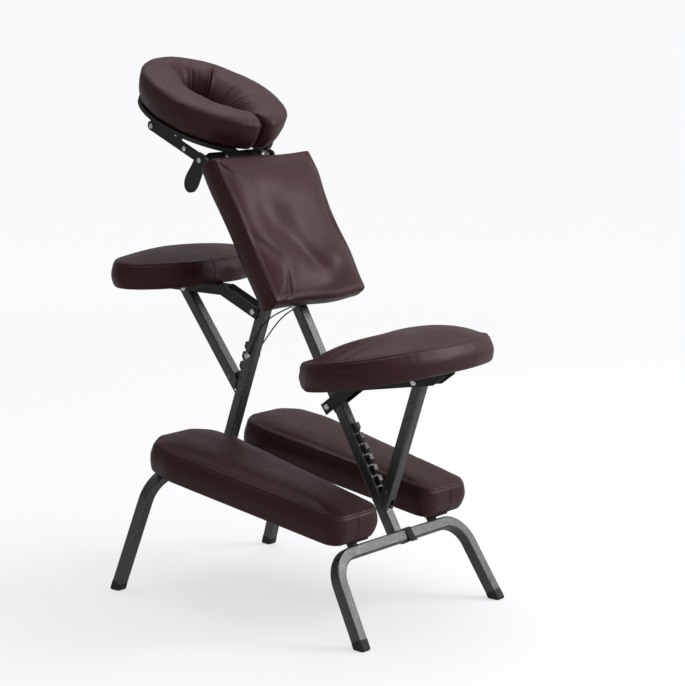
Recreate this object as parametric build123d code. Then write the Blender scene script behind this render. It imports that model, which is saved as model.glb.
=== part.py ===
from build123d import *
import math
import os

# Portable kneeling massage chair: two leaning steel frames hinged together, with a seat, two kneelers,
# a chest pad, an armrest and a face cradle.  Millimetres.  +Y is the way the sitter faces, +X is the
# sitter's right, +Z is up.  The origin is on the floor, under the middle of the chair.

# Square steel tube
TUBE = 25.0
WALL = 1.5
TUBE_CORNER = 4.0
HALF = TUBE / 2

# Rear frame: a U-shaped pair of legs with the long main post in the same leaning plane
REAR_LEAN = 29.9
REAR_FOOT_X = 226.0
REAR_FOOT_Y = -375.0
REAR_BAR_Z = 164.6
REAR_SHOULDER_X = 208.0

# Front frame: the same, leaning the other way
FRONT_LEAN = -19.8
FRONT_FOOT_X = 244.5
FRONT_FOOT_Y = 305.0
FRONT_BAR_Z = 263.0
FRONT_SHOULDER_X = 222.0

# Bends of both U-shaped leg frames
BEND_RADIUS = 62.0
LEG_END_GAP = 12.0

# Rubber foot tips
TIP_SIZE = 27.0
TIP_CORNER = 6.0
TIP_HEIGHT = 19.0
TIP_ROUND = 4.0

# Main hinge between the two frames
HINGE_OFFSET = 31.0
PLATE = 3.0
EAR_GAP = 0.5
EAR_IN = HALF + EAR_GAP
EAR_OUT = EAR_IN + PLATE
BOLT_R = 4.0
RUNNING = 0.08
HEAD_R = 7.0
HEAD_H = 4.5

# Seat
SEAT_TILT = 10.0
SEAT_BOARD_AT = (-321.0, 515.5)
SEAT_HINGE = (-105.0, 423.0)
SEAT_ARM_RISE = 143.1
SEAT_STRUT_BOLT = (-337.0, 503.0)
SEAT_STRUT_FOOT_Z = 231.0
SEAT_HALF_X = 235.0
SEAT_HALF_Y = 166.0
SEAT_MID_Y = -285.0
SEAT_NOTCH = 15.0
SEAT_THICK = 66.0

# Armrest
ARM_BOARD_Z = 655.0
ARM_HINGE_OFFSET = 17.0
ARM_HINGE_ALONG = 637.5
ARM_RISE = 23.0
ARM_STRUT_BOLT = (313.0, 639.2)
ARM_STRUT_FOOT_Z = 429.0
ARM_HALF_X = 201.0
ARM_HALF_Y = 125.0
ARM_MID_Y = 317.0
ARM_NOTCH = 12.0
ARM_THICK = 55.0

# Boards and bracket channels under the pads
BOARD = 10.0
CHANNEL_H = 24.0
ARM_CHANNEL_H = 22.0
SCREW_R = 2.5

# Ovals of the seat and armrest
OVAL_POINTS = 24
NOTCH_HALF = 75.0

# Toothed racks that take the feet of the two struts
RACK_BASE = 2.0
TOOTH_H = 11.0
TOOTH_PITCH = 24.0
RACK_HALF_WIDTH = 5.5
SLOT_HALF_WIDTH = 7.0
SLOT_DEPTH = 16.0
FOOT_CLEAR = 1.5
STRUT_SHIFT = 6.5

# Kneelers
KNEEL_TILT = 10.2
KNEEL_REAR_Y = -306.0
KNEEL_REAR_Z = 252.0
KNEEL_LENGTH = 537.0
KNEEL_THICK = 60.0
KNEEL_CROWN = 5.0
KNEEL_HINGE = (-265.0, 186.0)
KNEEL_EYE_R = 7.0
KNEEL_HINGE_X = 132.0

# Chest pad
CHEST_LOW_Z = 659.0
CHEST_LENGTH = 331.0
CHEST_HALF_LOW = 142.0
CHEST_HALF_TOP = 147.0
CHEST_OFFSET = 82.0
CHEST_MOUNT = 7.5

# Face cradle
ROD = (162.0, 935.0)
CRADLE_TILT = 24.2
ARM_X = 104.0
HEAD_HALF = 88.0
HEAD_LOW = 12.0
LEVER_X = 108.5
LEVER_THICK = 5.0
LEVER_TIP = (38.0, -65.0)
PILLOW_OFFSET = 38.0
PILLOW_AHEAD = 114.0
PILLOW_A = 157.0
PILLOW_B = 167.0
PILLOW_THICK = 72.0
HOLE_A = 46.0
HOLE_B = 74.0
SLIT = 10.0
PLATFORM = 9.0

# Stay cables that stop the frames from opening further
CABLE_R = 1.5
CABLE_X = 14.1
CABLE_SPLAY = 30.0
CABLE_LOW = (122.5, 507.0)
CABLE_TOP = (-12.8, 630.0)
EYE_R = 7.0
EYE_THICK = 3.2


def lean_dir(lean):
    """Unit (y, z) of a line that leans forward from the vertical."""
    return math.sin(math.radians(lean)), math.cos(math.radians(lean))


def post_point(foot_y, lean, z):
    """(y, z) on a leaning post's centreline at a height."""
    return foot_y + z * math.tan(math.radians(lean)), z


def offset_point(point, lean, along, ahead):
    """A point moved along a leaning line, and squarely ahead of it."""
    s, c = lean_dir(lean)
    return point[0] + along * s + ahead * c, point[1] + along * c - ahead * s


def lean_plane(point, lean):
    """Plane with local x along X and local y up the leaning line; its normal looks back."""
    s, c = lean_dir(lean)
    return Plane(origin=(0, *point), x_dir=(1, 0, 0), z_dir=(0, -c, s))


def side_plane(point, lean=0.0, x=0.0):
    """Plane across X with local x ahead of the leaning line and local y along it."""
    s, c = lean_dir(lean)
    return Plane(origin=(x, *point), x_dir=(0, c, -s), z_dir=(1, 0, 0))


def both_sides(shape):
    """A shape and its mirror image across the chair's middle."""
    return [shape, mirror(shape, about=Plane.YZ)]


def rod(point, x_from, x_to, radius):
    """Round bar along X."""
    return extrude(side_plane(point, x=x_from) * Circle(radius), x_to - x_from)


def side_plate(outline, x_from, x_to):
    """Flat plate across X from a list of (y, z) corners."""
    face = make_face(Polyline(*outline, close=True))
    return extrude(side_plane((0, 0), x=x_from) * face, x_to - x_from)


def cross_bolt(point, half_grip):
    """Bolt along X with a domed head at the left and a nut at the right."""
    shank = rod(point, -half_grip, half_grip, BOLT_R)
    head = rod(point, -half_grip - HEAD_H, -half_grip, HEAD_R)
    head = fillet(head.edges().group_by(Axis.X)[0], HEAD_H * 0.6)
    nut_face = side_plane(point, x=half_grip) * RegularPolygon(HEAD_R, 6)
    return shank + head + extrude(nut_face, HEAD_H)


def tube_section(size=TUBE, wall=WALL, corner=TUBE_CORNER):
    """Hollow rounded square."""
    return RectangleRounded(size, size, corner) - RectangleRounded(size - 2 * wall, size - 2 * wall, corner - wall)


def straight_tube(start, lean, length):
    """Square tube up a leaning line."""
    s, c = lean_dir(lean)
    plane = Plane(origin=(0, *start), x_dir=(1, 0, 0), z_dir=(0, s, c))
    return extrude(plane * tube_section(), length)


def leg_frame(foot_x, shoulder_x, foot_y, lean, bar_z, section):
    """U-shaped frame: two splayed legs and the bar between them, bent from one tube."""
    rise = bar_z / math.cos(math.radians(lean))
    splay = (foot_x - shoulder_x) / rise
    end_x = foot_x - splay * LEG_END_GAP
    plane = lean_plane((foot_y, 0), lean)
    corners = [(-end_x, LEG_END_GAP), (-shoulder_x, rise), (shoulder_x, rise), (end_x, LEG_END_GAP)]
    path = plane * FilletPolyline(*corners, radius=BEND_RADIUS)
    start = Plane(origin=path @ 0, x_dir=plane.z_dir, z_dir=path % 0)
    return sweep(start * section, path=path)


def foot_tip(foot_x, shoulder_x, foot_y, lean, bar_z):
    """Rubber cap on the left leg's end, cut level by the floor."""
    rise = bar_z / math.cos(math.radians(lean))
    flat = lean_plane((foot_y, 0), lean)
    foot = flat.from_local_coords((-foot_x, 0, 0))
    shoulder = flat.from_local_coords((-shoulder_x, rise, 0))
    along = (shoulder - foot).normalized()
    plane = Plane(origin=foot, x_dir=flat.z_dir, z_dir=along)
    cap = extrude(plane.offset(-TIP_HEIGHT) * RectangleRounded(TIP_SIZE, TIP_SIZE, TIP_CORNER), 2 * TIP_HEIGHT)
    leg_gap = LEG_END_GAP * math.hypot(1, (foot_x - shoulder_x) / rise)
    bore = extrude(plane.offset(leg_gap) * RectangleRounded(TUBE, TUBE, TUBE_CORNER), TIP_HEIGHT)
    ground = Pos(foot.X, foot.Y, -TIP_HEIGHT) * Box(4 * TIP_HEIGHT, 4 * TIP_HEIGHT, 2 * TIP_HEIGHT)
    tip = cap - ground
    return fillet(tip.edges().group_by(Axis.Z)[0], TIP_ROUND) - bore


def lug(point, lean, reach, half_width, radius):
    """Eye standing out ahead of a leaning post's face."""
    eye = Circle(radius) + Pos(-reach / 2, 0) * Rectangle(reach, 2 * radius)
    eye &= Pos(radius - reach, 0) * Rectangle(2 * radius, 2 * radius)
    block = extrude(side_plane(point, lean, -half_width) * eye, 2 * half_width)
    return block - rod(point, -half_width, half_width, BOLT_R + RUNNING)


def rack(point, lean, side, teeth):
    """Toothed strip on a post's face; side is 1 on the front face and -1 on the rear face."""
    length = teeth * TOOTH_PITCH
    profile = [(0, 0), (RACK_BASE, 0)]
    for i in range(teeth):
        low = i * TOOTH_PITCH
        profile += [(TOOTH_H, low + TOOTH_PITCH * 0.35), (TOOTH_H, low + TOOTH_PITCH * 0.85)]
        profile += [(RACK_BASE, low + TOOTH_PITCH * 0.85), (RACK_BASE, low + TOOTH_PITCH)]
    profile += [(0, length)]
    outline = [(side * (HALF + out), up) for out, up in profile]
    face = make_face(Polyline(*outline, close=True))
    return extrude(side_plane(point, lean, -RACK_HALF_WIDTH) * face, 2 * RACK_HALF_WIDTH)


# ---- main directions worked out from the driving sizes ----
CROSSING_Z = (FRONT_FOOT_Y - REAR_FOOT_Y) / (
    math.tan(math.radians(REAR_LEAN)) - math.tan(math.radians(FRONT_LEAN))
)
CROSSING = post_point(REAR_FOOT_Y, REAR_LEAN, CROSSING_Z)
HINGE_DOWN = HINGE_OFFSET / math.sin(math.radians(REAR_LEAN - FRONT_LEAN))
FRAME_HINGE = offset_point(CROSSING, FRONT_LEAN, -HINGE_DOWN, 0)
REAR_BAR = post_point(REAR_FOOT_Y, REAR_LEAN, REAR_BAR_Z)
FRONT_BAR = post_point(FRONT_FOOT_Y, FRONT_LEAN, FRONT_BAR_Z)
ARM_HINGE = offset_point((FRONT_FOOT_Y, 0), FRONT_LEAN, ARM_HINGE_ALONG, ARM_HINGE_OFFSET)


def main_post():
    bottom = offset_point(REAR_BAR, REAR_LEAN, HALF, 0)
    s, c = lean_dir(REAR_LEAN)
    length = (ROD[0] - bottom[0]) * s + (ROD[1] - bottom[1]) * c - HEAD_LOW
    tube = straight_tube(bottom, REAR_LEAN, length)
    return tube - rod(CABLE_TOP, -TUBE, TUBE, BOLT_R)


def front_post():
    bottom = offset_point(FRONT_BAR, FRONT_LEAN, HALF, 0)
    top = offset_point(FRAME_HINGE, FRONT_LEAN, HALF * 0.64, 0)
    length = math.hypot(top[0] - bottom[0], top[1] - bottom[1])
    tube = straight_tube(bottom, FRONT_LEAN, length)
    tube -= rod(CABLE_LOW, -TUBE, TUBE, BOLT_R)
    return tube - rod(FRAME_HINGE, -TUBE, TUBE, BOLT_R + RUNNING)


def frame_hinge_bracket():
    """Folded U-channel welded to the front of the main post; the front post turns between its ears."""
    ahead = -HINGE_OFFSET + HALF
    web = [(ahead, -28), (ahead, 30), (ahead + PLATE, 30), (ahead + PLATE, -28)]
    ear = [(ahead, -28), (ahead, 30), (-2, 14), (12, 10), (14, 0), (10, -12), (-4, -20)]
    plane = side_plane(FRAME_HINGE, REAR_LEAN)
    bracket = extrude(plane.offset(-EAR_OUT) * make_face(Polyline(*web, close=True)), 2 * EAR_OUT)
    for x in (-EAR_OUT, EAR_IN):
        bracket += extrude(plane.offset(x) * make_face(Polyline(*ear, close=True)), PLATE)
    return bracket - rod(FRAME_HINGE, -TUBE, TUBE, BOLT_R)


def seat_slope(y, below=0.0):
    """(y, z) on the underside of the seat board, or squarely below it."""
    t = math.tan(math.radians(SEAT_TILT))
    z = SEAT_BOARD_AT[1] + (SEAT_BOARD_AT[0] - y) * t
    return y, z - below / math.cos(math.radians(SEAT_TILT))


def channel_bracket(hinge, arm_dir, arm_half, top_line, low_line, joins, end_y, tail_y, strut_bolt):
    """Bent U-channel under a board: two flanges with an arm down to the hinge bolt, and a top web."""
    dy, dz = arm_dir
    ny, nz = -dz, dy
    if nz < 0:
        ny, nz = -ny, -nz
    end = 13.0
    upper = (hinge[0] - end * dy + arm_half * ny, hinge[1] - end * dz + arm_half * nz)
    lower = (hinge[0] - end * dy - arm_half * ny, hinge[1] - end * dz - arm_half * nz)
    outline = [upper, lower, low_line(joins[0]), low_line(tail_y), top_line(end_y, 2 * PLATE)]
    outline += [top_line(end_y), top_line(joins[1])]
    bracket = None
    for x in (-EAR_OUT, EAR_IN):
        flange = side_plate(outline, x, x + PLATE)
        bracket = flange if bracket is None else bracket + flange
    web = [top_line(joins[1]), top_line(end_y), top_line(end_y, PLATE), top_line(joins[1], PLATE)]
    bracket += side_plate(web, -EAR_OUT, EAR_OUT)
    for bolt in (hinge, strut_bolt):
        bracket -= rod(bolt, -TUBE, TUBE, BOLT_R)
    return bracket


def seat_bracket():
    arm_dir = (math.cos(math.radians(SEAT_ARM_RISE)), math.sin(math.radians(SEAT_ARM_RISE)))
    return channel_bracket(
        SEAT_HINGE, arm_dir, 12.5, seat_slope, lambda y: seat_slope(y, CHANNEL_H),
        (-184.5, -172.6), -418.0, -385.0, SEAT_STRUT_BOLT,
    )


def arm_level(y, below=0.0):
    """(y, z) on the underside of the armrest board, or below it."""
    return y, ARM_BOARD_Z - below


def armrest_bracket():
    arm_dir = (math.cos(math.radians(ARM_RISE)), math.sin(math.radians(ARM_RISE)))
    return channel_bracket(
        ARM_HINGE, arm_dir, 12.5, arm_level, lambda y: arm_level(y, ARM_CHANNEL_H),
        (201.6, 189.4), 372.0, 352.0, ARM_STRUT_BOLT,
    )


def strut_foot(foot_y, lean, foot_z, side):
    """Middle of a strut's cut end, just clear of the post's face."""
    return offset_point(post_point(foot_y, lean, foot_z), lean, 0, side * (HALF + FOOT_CLEAR))


def strut_tilt(bolt, foot, side):
    """Lean of a strut whose axis passes beside its bolt, on the side away from the post."""
    dy, dz = bolt[0] - foot[0], bolt[1] - foot[1]
    aside = math.degrees(math.asin(STRUT_SHIFT / math.hypot(dy, dz)))
    return math.degrees(math.atan2(dy, dz)) + side * aside


def strut(bolt, foot_y, lean, foot_z, side):
    """Square tube from its bolt down to a post, cut along the post and slotted to straddle its rack."""
    foot = strut_foot(foot_y, lean, foot_z, side)
    tilt = strut_tilt(bolt, foot, side)
    length = math.hypot(bolt[0] - foot[0], bolt[1] - foot[1])
    start = offset_point(foot, tilt, -TUBE, 0)
    tube = straight_tube(start, tilt, length + TUBE + 9.0)
    keep = extrude(side_plane(foot, lean, -TUBE) * (Pos(side * 500, 0) * Rectangle(1000, 2000)), 2 * TUBE)
    top = offset_point(foot, tilt, length, 0)
    below = Circle(HALF) + Pos(0, -500) * Rectangle(TUBE, 1000)
    rounded = extrude(side_plane(top, tilt, -TUBE) * below, 2 * TUBE)
    slot = Pos(side * SLOT_DEPTH / 2, 0) * Rectangle(SLOT_DEPTH, 400)
    slot = extrude(side_plane(foot, lean, -SLOT_HALF_WIDTH) * slot, 2 * SLOT_HALF_WIDTH)
    return (tube & keep & rounded) - slot - rod(bolt, -TUBE, TUBE, BOLT_R + RUNNING)


def strut_studs(bolt, foot_y, lean, foot_z, side):
    """Domed rivet heads on both sides of a strut's foot."""
    foot = strut_foot(foot_y, lean, foot_z, side)
    spot = offset_point(foot, strut_tilt(bolt, foot, side), 26.0, 0)
    head = rod(spot, HALF, HALF + 2.0, 4.0)
    return both_sides(fillet(head.edges().group_by(Axis.X)[-1], 1.2))


def kidney(half_x, half_y, power, notch, notch_side, inset=0.0):
    """Rounded oval with a shallow hollow in the middle of one long side."""
    points = []
    for i in range(OVAL_POINTS):
        turn = 2 * math.pi * i / OVAL_POINTS
        c, s = math.cos(turn), math.sin(turn)
        x = math.copysign(abs(c) ** (2 / power), c) * (half_x - inset)
        y = math.copysign(abs(s) ** (2 / power), s) * (half_y - inset)
        if s * notch_side > 0:
            y -= notch_side * notch * math.exp(-((x / NOTCH_HALF) ** 2))
        points.append((x, y))
    return make_face(Spline(*points, periodic=True))


def seat_outline(inset=0.0):
    return kidney(SEAT_HALF_X, SEAT_HALF_Y, 2.1, SEAT_NOTCH, 1, inset)


def seat_plane():
    """Underside of the seat board, with its origin at the seat's middle."""
    return lean_plane(seat_slope(SEAT_MID_Y), 90 + SEAT_TILT)


def armrest_outline(inset=0.0):
    return kidney(ARM_HALF_X, ARM_HALF_Y, 1.8, ARM_NOTCH, -1, inset)


def board_screws(points, plane, length):
    """Screws up through a bracket's web into its board, with heads under the web."""
    screws = []
    for x, y in points:
        shank = extrude(plane.offset(-PLATE) * Pos(x, y) * Circle(SCREW_R), length)
        head = extrude(plane.offset(-PLATE) * Pos(x, y) * Circle(4.5), -2.5)
        screws.append(shank + head)
    return screws


def kneeler_plane():
    """Plane of a kneeler's top seam, with its origin at the rear end."""
    return lean_plane((KNEEL_REAR_Y, KNEEL_REAR_Z), 90 - KNEEL_TILT)


def kneeler_outline(inset=0.0):
    """Right kneeler: long, narrow behind and wide at its rounded front."""
    n = KNEEL_LENGTH
    points = [(78 + inset, inset), (219 - inset, inset), (254 - inset, n - 95), (238 - inset, n - 30)]
    points += [(200, n - inset), (90, n - inset), (50 + inset, n - 30), (42 + inset, n - 95)]
    face = make_face(Polyline(*points, close=True))
    return fillet(face.vertices(), 24.0 - inset)


def kneeler_parts():
    """Right kneeler's board, cushion and hinge bracket."""
    plane = kneeler_plane()
    board = extrude(plane.offset(-KNEEL_THICK) * kneeler_outline(6.0), BOARD)
    cushion = extrude(plane.offset(-KNEEL_THICK + BOARD) * kneeler_outline(), KNEEL_THICK - BOARD + KNEEL_CROWN)
    cushion = fillet(cushion.edges().group_by(Axis((0, 0, 0), plane.z_dir))[-1], KNEEL_CROWN)
    base_plane = plane.offset(-KNEEL_THICK - PLATE)
    local = base_plane.to_local_coords(Vector(0, *KNEEL_HINGE))
    base = extrude(base_plane * Pos(KNEEL_HINGE_X, local.Y) * Rectangle(40, 60), PLATE)
    bracket = base
    for x in (KNEEL_HINGE_X - 12.0, KNEEL_HINGE_X + 9.0):
        ear = Circle(KNEEL_EYE_R) + Pos(-local.Z / 2, 0) * Rectangle(-local.Z, 2 * KNEEL_EYE_R)
        side = Plane(origin=(x, *KNEEL_HINGE), x_dir=tuple(plane.z_dir), z_dir=(1, 0, 0))
        bracket += extrude(side * ear, PLATE)
    bracket -= rod(KNEEL_HINGE, 0, 300, BOLT_R)
    return board, cushion, bracket


def kneeler_hinge_lug():
    """Right eye on the rear bar's upper face for a kneeler's hinge pin."""
    s, c = lean_dir(REAR_LEAN)
    reach = (KNEEL_HINGE[0] - REAR_BAR[0]) * s + (KNEEL_HINGE[1] - REAR_BAR[1]) * c - HALF
    eye = Circle(KNEEL_EYE_R) + Pos(0, -reach / 2) * Rectangle(2 * KNEEL_EYE_R, reach)
    block = extrude(side_plane(KNEEL_HINGE, REAR_LEAN, KNEEL_HINGE_X - 8.0) * eye, 16.0)
    return block - rod(KNEEL_HINGE, 0, 300, BOLT_R + RUNNING)


def bar_sleeve(point, lean, x, half_length, thick):
    """Square sleeve round a crossbar."""
    plane = side_plane(point, lean, x - half_length)
    outer = RectangleRounded(TUBE + 2 * thick, TUBE + 2 * thick, TUBE_CORNER + thick)
    return extrude(plane * (outer - RectangleRounded(TUBE, TUBE, TUBE_CORNER)), 2 * half_length)


def chest_plane():
    """Plane up the chest pad's middle, at the main post's centreline, from the pad's lower edge."""
    back = post_point(REAR_FOOT_Y, REAR_LEAN, CHEST_LOW_Z)
    s, c = lean_dir(REAR_LEAN)
    shift = -CHEST_OFFSET * s
    return lean_plane(offset_point(back, REAR_LEAN, shift, 0), REAR_LEAN)


def chest_outline(inset=0.0):
    low = CHEST_HALF_LOW - inset
    top = CHEST_HALF_TOP - inset
    points = [(-low, inset), (low, inset), (top, CHEST_LENGTH - inset), (-top, CHEST_LENGTH - inset)]
    return fillet(make_face(Polyline(*points, close=True)).vertices(), 18.0)


def chest_parts():
    """Mount channel, board, cushion and screws of the chest pad, from the post outwards."""
    plane = chest_plane()
    mount = extrude(plane.offset(HALF) * Pos(0, 176) * Rectangle(60, 250), CHEST_MOUNT)
    board = extrude(plane.offset(HALF + CHEST_MOUNT) * chest_outline(8.0), BOARD - 2.5)
    cushion = extrude(plane.offset(HALF + CHEST_MOUNT + BOARD - 2.5) * chest_outline(), CHEST_OFFSET - 27.5)
    rim = cushion.edges().group_by(Axis((0, 0, 0), plane.z_dir))[-1]
    cushion = fillet(rim, 14.0)
    screws = []
    for x in (-22.0, 22.0):
        for y in (76.0, 276.0):
            spot = Pos(x, y)
            shank = extrude(plane.offset(HALF) * spot * Circle(SCREW_R), CHEST_MOUNT + 6.0)
            head = extrude(plane.offset(HALF) * spot * Circle(4.5), -2.5)
            screws.append(shank + head)
            mount -= shank
            board -= shank
    return mount, board, cushion, screws


def cradle_plane():
    """Plane of the cradle: local y forward up the tilt, origin on the pivot rod."""
    return lean_plane(ROD, 90 - CRADLE_TILT)


def pillow():
    """Open ring with a slit towards the chest."""
    plane = cradle_plane().offset(PILLOW_OFFSET)
    ring = Pos(0, PILLOW_AHEAD) * (Ellipse(PILLOW_A, PILLOW_B) - Pos(0, 6) * Ellipse(HOLE_A, HOLE_B))
    ring -= Pos(0, PILLOW_AHEAD - PILLOW_B / 2) * Rectangle(SLIT, PILLOW_B)
    body = extrude(plane * ring, PILLOW_THICK)
    levels = body.edges().group_by(Axis((0, 0, 0), plane.z_dir))
    return fillet(levels[0] + levels[-1], 18.0)


def cradle_platform():
    """Thin open ring that the pillow lies on."""
    plane = cradle_plane().offset(PILLOW_OFFSET - PLATFORM)
    ring = Pos(0, PILLOW_AHEAD) * (Ellipse(PILLOW_A - 9, PILLOW_B - 9) - Ellipse(HOLE_A + 14, HOLE_B + 10))
    ring -= Pos(0, PILLOW_AHEAD - PILLOW_B / 2) * Rectangle(2 * HOLE_A, PILLOW_B)
    return extrude(plane * ring, PLATFORM)


def cradle_arm():
    """Right side bar from the pivot rod forward, with two tabs up to the platform."""
    plane = side_plane(ROD, -CRADLE_TILT, ARM_X)
    bar = Pos(81, 0) * SlotOverall(190, 21)
    arm = extrude(plane * bar, 4.0)
    for ahead in (80.0, 140.0):
        top = PILLOW_OFFSET - PLATFORM
        tab = Pos(ahead, (top + 5) / 2) * Rectangle(16, top - 5)
        arm += extrude(plane * tab, 4.0)
    return arm - rod(ROD, 0, 200, BOLT_R + RUNNING)


def cradle_bolt(ahead):
    """Bolt head and nut through the right side bar."""
    point = offset_point(ROD, 90 - CRADLE_TILT, ahead, 0)
    shank = rod(point, ARM_X, ARM_X + 4.0, 3.0)
    head = rod(point, ARM_X + 4.0, ARM_X + 7.5, 5.5)
    nut = extrude(side_plane(point, x=ARM_X - 4.0) * RegularPolygon(5.5, 6), 4.0)
    return shank + head + nut


def cradle_head():
    """Crossbar on top of the main post that carries the cradle's rod."""
    section = RectangleRounded(22, 2 * HEAD_LOW, 3)
    bar = extrude(side_plane(ROD, REAR_LEAN, -HEAD_HALF) * section, 2 * HEAD_HALF)
    return bar - rod(ROD, -HEAD_HALF, HEAD_HALF, BOLT_R)


def cradle_rod():
    """Pivot rod with a round head beyond the lever and beyond the right arm."""
    left, right = -LEVER_X - LEVER_THICK - 0.5, ARM_X + 4.5
    pin = rod(ROD, left, right, BOLT_R)
    return pin + rod(ROD, left - 3.0, left, 5.5) + rod(ROD, right, right + 3.0, 5.5)


def cradle_nuts():
    """Two nuts on the crossbar's upper face that hold it to the post's top plate."""
    s, c = lean_dir(REAR_LEAN)
    nuts = []
    for x in (-46.0, 66.0):
        face = Plane(origin=(x, ROD[0] - 11.0 * c, ROD[1] + 11.0 * s), x_dir=(1, 0, 0), z_dir=(0, -c, s))
        nuts.append(extrude(face * RegularPolygon(6.5, 6), 4.5) + extrude(face * Circle(3.0), 8.0))
    return nuts


def cam_lever():
    """Broad paddle that hangs from the rod outside the left arm and clamps the tilt."""
    plane = Plane(origin=(-LEVER_X, *ROD), x_dir=(0, *LEVER_TIP), z_dir=(-1, 0, 0))
    outline = [(-13, -11), (-15, 0), (-13, 11), (8, 16), (45, 19), (68, 16), (78, 5), (78, -5), (68, -16), (45, -19), (8, -16)]
    paddle = extrude(plane * make_face(Spline(*outline, periodic=True)), LEVER_THICK)
    return paddle - rod(ROD, -200, 0, BOLT_R + RUNNING)


def stay_cable():
    """Right stay cable, bowed up and outward from the front post and back to the main post."""
    route = [(119.2, 513.5), (104.0, 538.0), (84.0, 567.0), (60.0, 594.0), (28.0, 613.0), (-5.8, 627.0)]
    spine = side_plane((0, 0), x=CABLE_X) * FilletPolyline(*route, radius=[60.0, 60.0, 70.0, 80.0])
    (y0, z0), (y1, z1) = route[0], route[-1]
    spine = spine.rotate(Axis((CABLE_X, y0, z0), (0, y1 - y0, z1 - z0)), -CABLE_SPLAY)
    start = Plane(origin=spine @ 0, z_dir=spine % 0)
    return sweep(start * Circle(CABLE_R), path=spine)


def cable_eye(point):
    """Right crimped eye under the head of a cable bolt."""
    ring = rod(point, HALF, HALF + EYE_THICK, EYE_R)
    return ring - rod(point, 0, 40, BOLT_R)


def write(name, shape):
    """One STEP for each node; a list of like pieces becomes one group."""
    if isinstance(shape, (list, tuple)):
        shape = Compound(children=list(shape))
    export_step(shape, f"parts/{name}.step")


def build_rear_frame():
    write("rear_leg_frame", leg_frame(REAR_FOOT_X, REAR_SHOULDER_X, REAR_FOOT_Y, REAR_LEAN, REAR_BAR_Z, tube_section()))
    write("main_post", main_post())
    write("rear_foot_tips", both_sides(foot_tip(REAR_FOOT_X, REAR_SHOULDER_X, REAR_FOOT_Y, REAR_LEAN, REAR_BAR_Z)))
    write("frame_hinge_bracket", frame_hinge_bracket())
    write("frame_hinge_bolt", cross_bolt(FRAME_HINGE, EAR_OUT))
    s, c = lean_dir(REAR_LEAN)
    foot_of_lug = (SEAT_HINGE[0] - REAR_FOOT_Y) * c - SEAT_HINGE[1] * s - HALF
    write("seat_hinge_lug", lug(SEAT_HINGE, REAR_LEAN, foot_of_lug, 11.5, 9.0))
    write("seat_rack", rack(post_point(REAR_FOOT_Y, REAR_LEAN, 222.0), REAR_LEAN, -1, 8))
    write("kneeler_hinge_lugs", both_sides(kneeler_hinge_lug()))
    write("fold_strap", bar_sleeve(REAR_BAR, REAR_LEAN, 29.0, 10.0, 1.5))
    write("upper_cable_bolt", cross_bolt(CABLE_TOP, HALF + EYE_THICK))
    write("upper_cable_eyes", both_sides(cable_eye(CABLE_TOP)))
    mount, board, cushion, screws = chest_parts()
    write("chest_pad_mount", mount)
    write("chest_pad_board", board)
    write("chest_pad_cushion", cushion)
    write("chest_pad_screws", screws)
    write("cradle_head", cradle_head())
    write("cradle_rod", cradle_rod())
    write("cradle_nuts", cradle_nuts())


def build_front_frame():
    write("front_leg_frame", leg_frame(FRONT_FOOT_X, FRONT_SHOULDER_X, FRONT_FOOT_Y, FRONT_LEAN, FRONT_BAR_Z, tube_section()))
    write("front_post", front_post())
    write("front_foot_tips", both_sides(foot_tip(FRONT_FOOT_X, FRONT_SHOULDER_X, FRONT_FOOT_Y, FRONT_LEAN, FRONT_BAR_Z)))
    write("armrest_hinge_lug", lug(ARM_HINGE, FRONT_LEAN, ARM_HINGE_OFFSET - HALF, 11.5, 8.0))
    write("armrest_rack", rack(post_point(FRONT_FOOT_Y, FRONT_LEAN, 418.0), FRONT_LEAN, 1, 5))
    write("front_bar_sleeves", both_sides(bar_sleeve(FRONT_BAR, FRONT_LEAN, 130.0, 18.0, 1.5)))
    write("lower_cable_bolt", cross_bolt(CABLE_LOW, HALF + EYE_THICK))
    write("lower_cable_eyes", both_sides(cable_eye(CABLE_LOW)))
    right = stay_cable()
    write("stay_cable_right", right)
    write("stay_cable_left", mirror(right, about=Plane.YZ))


def build_seat():
    plane = seat_plane()
    board = extrude(plane * seat_outline(8.0), BOARD)
    bracket = seat_bracket()
    spots = [(x, y) for x in (-8.0, 8.0) for y in (80.0, -105.0)]
    screws = board_screws(spots, plane, PLATE + 8.0)
    for screw in screws:
        board -= screw
        bracket -= screw
    cushion = extrude(plane.offset(BOARD) * seat_outline(), SEAT_THICK - BOARD)
    cushion = fillet(cushion.edges().group_by(Axis((0, 0, 0), plane.z_dir))[-1], 12.0)
    write("seat_bracket", bracket)
    write("seat_board", board)
    write("seat_cushion", cushion)
    write("seat_screws", screws)
    write("seat_hinge_bolt", cross_bolt(SEAT_HINGE, EAR_OUT))
    write("seat_strut_bolt", cross_bolt(SEAT_STRUT_BOLT, EAR_OUT))
    foot = (REAR_FOOT_Y, REAR_LEAN, SEAT_STRUT_FOOT_Z, -1)
    write("seat_strut", strut(SEAT_STRUT_BOLT, *foot))
    write("seat_strut_studs", strut_studs(SEAT_STRUT_BOLT, *foot))


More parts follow.
